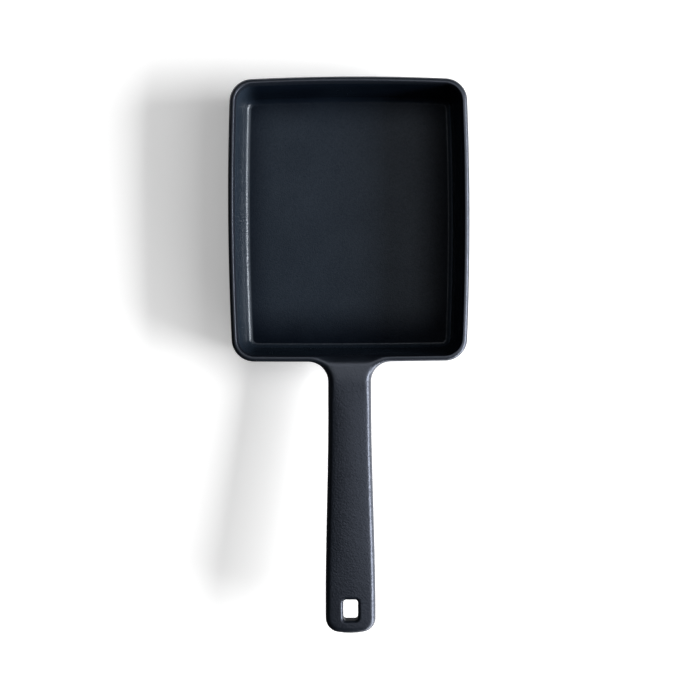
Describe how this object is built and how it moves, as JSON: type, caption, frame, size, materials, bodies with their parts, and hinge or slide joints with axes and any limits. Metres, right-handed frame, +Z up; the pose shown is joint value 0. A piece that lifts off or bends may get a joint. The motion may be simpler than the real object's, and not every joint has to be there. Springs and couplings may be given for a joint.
{
  "type": "omelette pan",
  "caption": "Rectangular cast-iron omelette pan with drafted walls, an enamelled well and a flat handle cast in one with the rim, pierced by a hang hole at the butt.",
  "frame": {"origin": "middle of the tray's flat base, on the surface that the pan stands on", "axes": "+Z up out of the well, -Y along the handle from rim to butt, +X to the right with the handle towards the cook"},
  "size_m": [0.15, 0.3427, 0.0493],
  "materials": {
    "cast_skin": "blue-black satin over a pebbly sand-cast skin",
    "enamel": "fine-grained blue-black satin enamel"
  },
  "bodies": {
    "root": {"pan_casting": "cast_skin", "interior_enamel": "enamel"}
  },
  "joints": []
}
